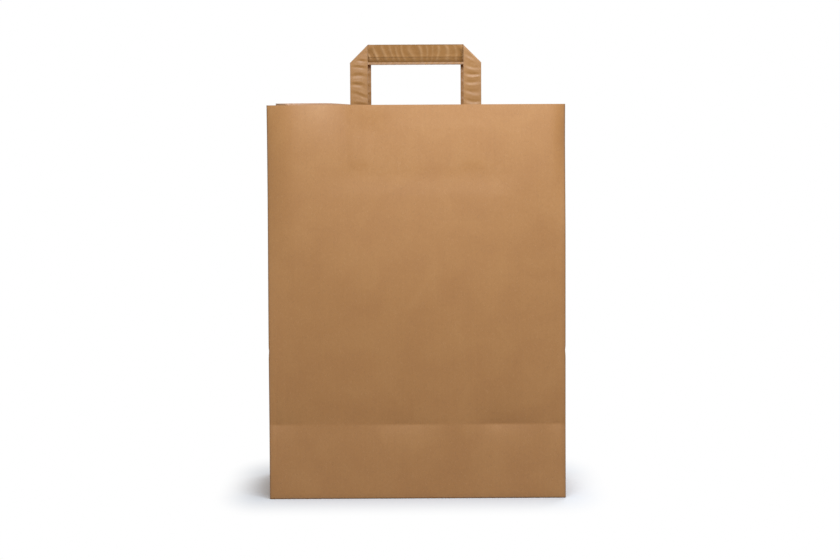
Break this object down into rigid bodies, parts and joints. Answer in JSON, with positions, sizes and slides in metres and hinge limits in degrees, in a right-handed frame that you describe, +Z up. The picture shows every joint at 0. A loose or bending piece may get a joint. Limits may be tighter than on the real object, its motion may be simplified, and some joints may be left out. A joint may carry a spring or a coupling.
{
  "type": "paper carrier bag",
  "caption": "Brown kraft paper carrier bag standing open, with inward-folded gussets, a folded block bottom and flat folded paper handles glued inside the mouth.",
  "frame": {"origin": "middle of the base, on the surface that the bag stands on", "axes": "+Z up, +X to the right seen from the front, front panel towards -Y"},
  "size_m": [0.32, 0.1601, 0.489],
  "materials": {
    "kraft_paper": "smooth unprinted brown kraft, slightly machine glazed",
    "kraft_band": "brown kraft strip folded into a flat band, lightly crinkled"
  },
  "bodies": {
    "root": {"bag_body": "kraft_paper", "front_handle": "kraft_band", "rear_handle": "kraft_band", "front_handle_patch": "kraft_paper", "rear_handle_patch": "kraft_paper"}
  },
  "joints": []
}
